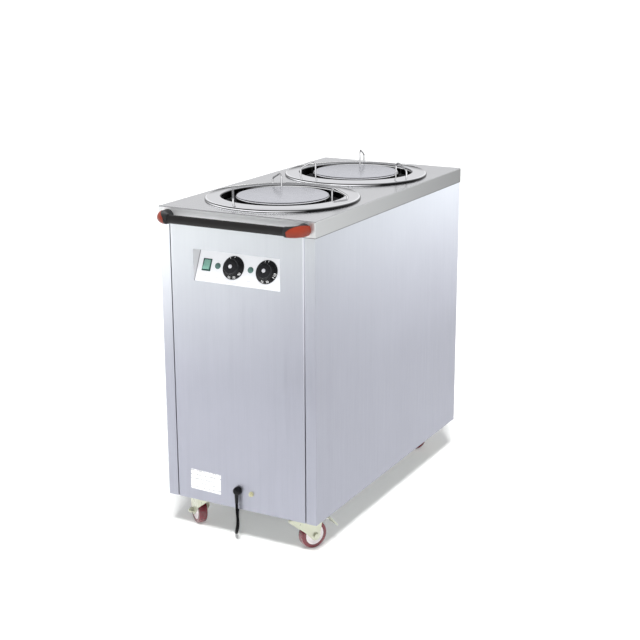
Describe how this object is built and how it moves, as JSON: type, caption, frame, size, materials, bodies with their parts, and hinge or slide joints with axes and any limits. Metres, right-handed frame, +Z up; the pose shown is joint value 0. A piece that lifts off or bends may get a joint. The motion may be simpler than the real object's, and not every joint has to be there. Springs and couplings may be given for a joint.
{
  "type": "heated plate dispenser trolley",
  "caption": "Stainless heated plate dispenser trolley: round plate wells with sprung platforms and wire guides, sloping control recess, push handle, swivel casters and a coiled mains lead.",
  "frame": {"origin": "on the floor, at the middle of the box round the trolley without its mains lead", "axes": "+Z up, -Y towards the front with the push handle and the controls, +X to the right as seen from the front"},
  "size_m": [0.4675, 0.9546, 0.9338],
  "materials": {
    "stainless": "brushed",
    "stainless_side": "satin",
    "fascia": "satin",
    "galvanised": "dull",
    "polished": "polished",
    "platform_steel": "satin",
    "bright_wire": "polished",
    "spring_steel": "dull",
    "handle_black": "satin",
    "bracket_black": "moulded",
    "cap_orange": "gloss",
    "switch_body": "moulded",
    "rocker_green": "gloss",
    "lamp_green": "gloss",
    "phenolic": "moulded",
    "knob_black": "gloss",
    "gland_black": "moulded",
    "cord_black": "satin",
    "earth_brass": "machined",
    "element": "heat darkened",
    "zinc": "zinc plated",
    "hub_grey": "moulded",
    "tyre_red": "gloss"
  },
  "bodies": {
    "cabinet": {"worktop": "stainless", "front_panel": "stainless_side", "rear_panel": "stainless_side", "left_panel": "stainless_side", "right_panel": "stainless_side", "base_pan": "galvanised", "control_panel": "fascia", "switch_housing": "switch_body", "pilot_lamps": "lamp_green", "thermostats": "phenolic", "handle_tube": "handle_black", "handle_brackets": "bracket_black", "handle_caps": "cap_orange", "cable_gland": "gland_black", "earth_terminal": "earth_brass", "heaters": "element", "front_collar": "polished", "rear_collar": "polished", "front_well": "galvanised", "rear_well": "galvanised", "front_springs": "spring_steel", "rear_springs": "spring_steel", "caster_plates": "zinc", "caster_bolts": "zinc", "cord": "cord_black", "cord_coil": "cord_black", "cord_plug": "gland_black"},
    "rocker": {"switch_rocker": "rocker_green"},
    "left_dial": {"left_knob": "knob_black", "left_spindle": "zinc"},
    "right_dial": {"right_knob": "knob_black", "right_spindle": "zinc"},
    "front_lift": {"front_platform": "platform_steel", "front_carrier": "galvanised"},
    "rear_lift": {"rear_platform": "platform_steel", "rear_carrier": "galvanised"},
    "front_guide_left_swing": {"front_guide_left": "bright_wire"},
    "front_guide_right_swing": {"front_guide_right": "bright_wire"},
    "front_guide_rear_swing": {"front_guide_rear": "bright_wire"},
    "rear_guide_left_swing": {"rear_guide_left": "bright_wire"},
    "rear_guide_right_swing": {"rear_guide_right": "bright_wire"},
    "rear_guide_rear_swing": {"rear_guide_rear": "bright_wire"},
    "front_left_swivel": {"front_left_fork": "zinc", "front_left_axle": "zinc"},
    "front_left_wheel": {"front_left_hub": "hub_grey", "front_left_tyre": "tyre_red"},
    "front_left_brake": {"front_left_pedal": "zinc"},
    "front_right_swivel": {"front_right_fork": "zinc", "front_right_axle": "zinc"},
    "front_right_wheel": {"front_right_hub": "hub_grey", "front_right_tyre": "tyre_red"},
    "front_right_brake": {"front_right_pedal": "zinc"},
    "rear_left_swivel": {"rear_left_fork": "zinc", "rear_left_axle": "zinc"},
    "rear_left_wheel": {"rear_left_hub": "hub_grey", "rear_left_tyre": "tyre_red"},
    "rear_right_swivel": {"rear_right_fork": "zinc", "rear_right_axle": "zinc"},
    "rear_right_wheel": {"rear_right_hub": "hub_grey", "rear_right_tyre": "tyre_red"}
  },
  "joints": [
    {"name": "rocker_tilt", "type": "hinge", "parent": "cabinet", "child": "rocker", "pos_m": [-0.0968, -0.40068, 0.73974], "axis": [1, 0, 0], "range_deg": [0, 16]},
    {"name": "left_dial_turn", "type": "hinge", "parent": "cabinet", "child": "left_dial", "pos_m": [-0.0173, -0.41072, 0.74424], "axis": [0, 0.9124, -0.4092], "range_deg": [0, 300]},
    {"name": "right_dial_turn", "type": "hinge", "parent": "cabinet", "child": "right_dial", "pos_m": [0.0795, -0.41072, 0.74424], "axis": [0, 0.9124, -0.4092], "range_deg": [0, 300]},
    {"name": "front_lift_slide", "type": "slide", "parent": "cabinet", "child": "front_lift", "axis": [0, 0, 1], "range_m": [-0.42, 0], "stiffness_N_per_m": 490, "springref_m": 0.05, "deforming": ["front_springs"]},
    {"name": "rear_lift_slide", "type": "slide", "parent": "cabinet", "child": "rear_lift", "axis": [0, 0, 1], "range_m": [-0.42, 0], "stiffness_N_per_m": 490, "springref_m": 0.05, "deforming": ["rear_springs"]},
    {"name": "front_guide_left_turn", "type": "hinge", "parent": "cabinet", "child": "front_guide_left_swing", "pos_m": [-0.04521, -0.35423, 0.87], "axis": [0, 0, 1], "range_deg": [-96.7, 3.3]},
    {"name": "front_guide_right_turn", "type": "hinge", "parent": "cabinet", "child": "front_guide_right_swing", "pos_m": [0.17415, -0.15145, 0.87], "axis": [0, 0, 1], "range_deg": [-40.2, 59.8]},
    {"name": "front_guide_rear_turn", "type": "hinge", "parent": "cabinet", "child": "front_guide_rear_swing", "pos_m": [-0.11067, -0.04496, 0.87], "axis": [0, 0, 1], "range_deg": [-72.9, 27.1]},
    {"name": "rear_guide_left_turn", "type": "hinge", "parent": "cabinet", "child": "rear_guide_left_swing", "pos_m": [-0.09923, 0.09133, 0.87], "axis": [0, 0, 1], "range_deg": [-45, 55]},
    {"name": "rear_guide_right_turn", "type": "hinge", "parent": "cabinet", "child": "rear_guide_right_swing", "pos_m": [0.17436, 0.20747, 0.87], "axis": [0, 0, 1], "range_deg": [-35.8, 64.2]},
    {"name": "rear_guide_rear_turn", "type": "hinge", "parent": "cabinet", "child": "rear_guide_rear_swing", "pos_m": [-0.05733, 0.40536, 0.87], "axis": [0, 0, 1], "range_deg": [-42.4, 57.6]},
    {"name": "front_left_swivel_turn", "type": "hinge", "parent": "cabinet", "child": "front_left_swivel", "pos_m": [-0.1532, -0.3726, 0.09], "axis": [0, 0, 1], "continuous": true},
    {"name": "front_left_wheel_roll", "type": "hinge", "parent": "front_left_swivel", "child": "front_left_wheel", "pos_m": [-0.17396, -0.35695, 0.0375], "axis": [-0.6018, -0.7986, 0], "continuous": true},
    {"name": "front_left_brake_press", "type": "hinge", "parent": "front_left_swivel", "child": "front_left_brake", "pos_m": [-0.18515, -0.34853, 0.08], "axis": [-0.6018, -0.7986, 0], "range_deg": [0, 14]},
    {"name": "front_right_swivel_turn", "type": "hinge", "parent": "cabinet", "child": "front_right_swivel", "pos_m": [0.1628, -0.3726, 0.09], "axis": [0, 0, 1], "continuous": true},
    {"name": "front_right_wheel_roll", "type": "hinge", "parent": "front_right_swivel", "child": "front_right_wheel", "pos_m": [0.17501, -0.34964, 0.0375], "axis": [-0.8829, 0.4695, 0], "continuous": true},
    {"name": "front_right_brake_press", "type": "hinge", "parent": "front_right_swivel", "child": "front_right_brake", "pos_m": [0.18158, -0.33728, 0.08], "axis": [-0.8829, 0.4695, 0], "range_deg": [0, 14]},
    {"name": "rear_left_swivel_turn", "type": "hinge", "parent": "cabinet", "child": "rear_left_swivel", "pos_m": [-0.1302, 0.4274, 0.09], "axis": [0, 0, 1], "continuous": true},
    {"name": "rear_left_wheel_roll", "type": "hinge", "parent": "rear_left_swivel", "child": "rear_left_wheel", "pos_m": [-0.15272, 0.4404, 0.0375], "axis": [-0.5, -0.866, 0], "continuous": true},
    {"name": "rear_right_swivel_turn", "type": "hinge", "parent": "cabinet", "child": "rear_right_swivel", "pos_m": [0.1398, 0.4274, 0.09], "axis": [0, 0, 1], "continuous": true},
    {"name": "rear_right_wheel_roll", "type": "hinge", "parent": "rear_right_swivel", "child": "rear_right_wheel", "pos_m": [0.11684, 0.41519, 0.0375], "axis": [0.4695, -0.8829, 0], "continuous": true}
  ]
}
